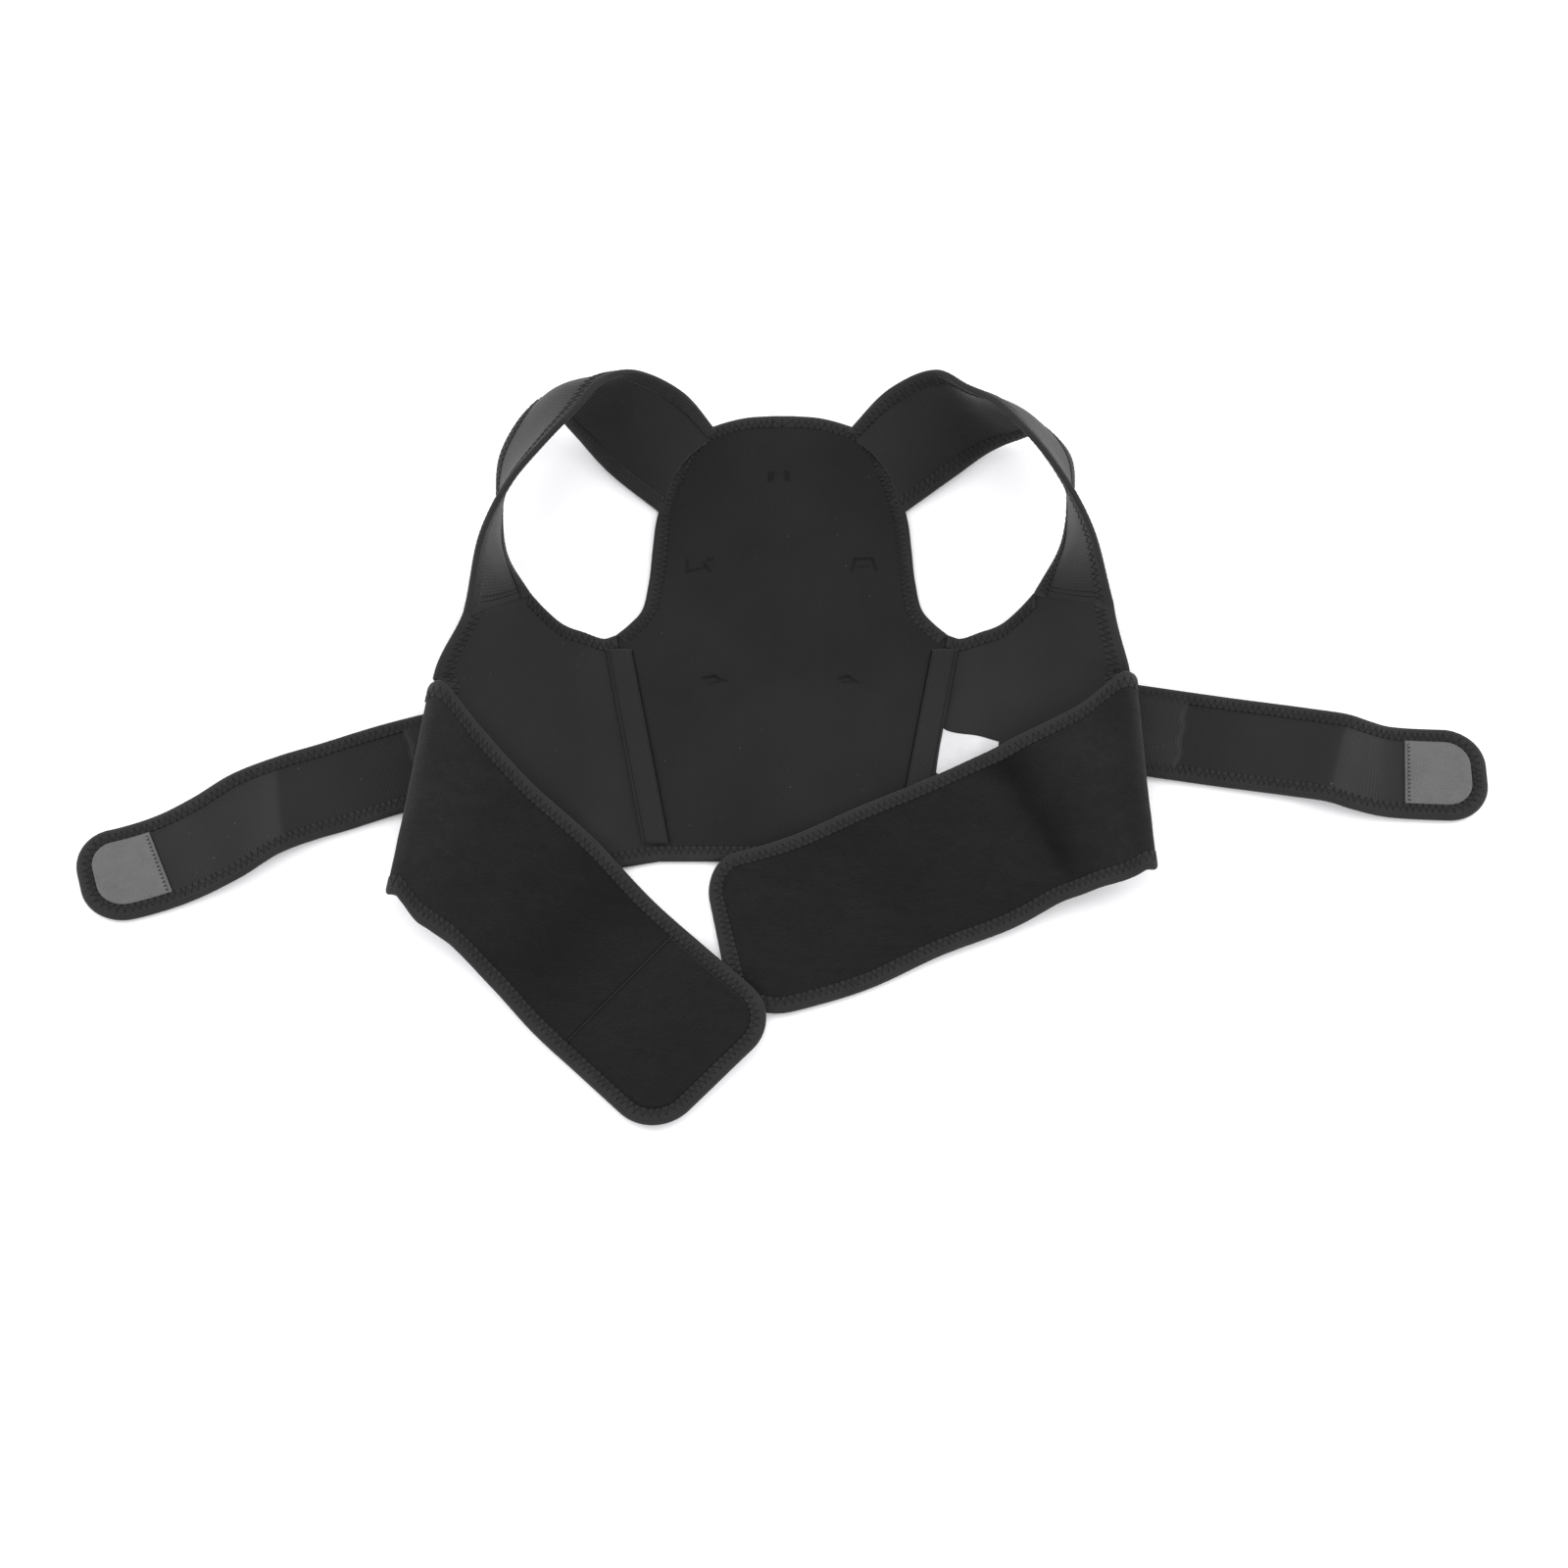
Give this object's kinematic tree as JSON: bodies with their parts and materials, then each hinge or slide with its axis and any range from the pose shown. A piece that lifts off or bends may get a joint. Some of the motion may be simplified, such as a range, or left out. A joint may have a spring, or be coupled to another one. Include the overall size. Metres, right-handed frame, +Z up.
{
  "type": "posture corrector",
  "caption": "Cloth posture corrector lying open: centre back panel with wings, looped shoulder straps, folded waist belts and tension straps.",
  "frame": {"origin": "point on the flat underside of the centre panel, on its centre line, 138 mm above the hem", "axes": "+Z up off the surface it lies on, +Y from the hem to the neck, +X towards the right belt as seen from above"},
  "size_m": [0.9009, 0.5319, 0.0799],
  "materials": {
    "foam": "matt knitted face on foam",
    "nylon": "smooth knitted nylon with a faint sheen",
    "plush": "brushed loop pile",
    "tape": "knitted elastic tape with zigzag stitching",
    "hook": "fine hook fastener",
    "label": "satin ribbon label"
  },
  "bodies": {
    "root": {"centre_panel": "foam", "panel_binding": "tape", "hem_binding": "tape", "wing_left": "nylon", "wing_right": "nylon", "armhole_binding_left": "tape", "armhole_binding_right": "tape", "side_binding_left": "tape", "side_binding_right": "tape", "stay_casing_left": "tape", "stay_casing_right": "tape", "shoulder_strap_left": "foam", "shoulder_strap_right": "foam", "strap_arm_binding_left": "tape", "strap_arm_binding_right": "tape", "strap_neck_binding_left": "tape", "strap_neck_binding_right": "tape", "belt_left": "plush", "belt_right": "plush", "belt_binding_left": "tape", "belt_binding_right": "tape", "belt_patch": "plush", "tension_strap_left": "foam", "tension_strap_right": "foam", "tension_binding_left": "tape", "tension_binding_right": "tape", "hook_tab_left": "hook", "hook_tab_right": "hook", "care_label": "label"}
  },
  "joints": []
}
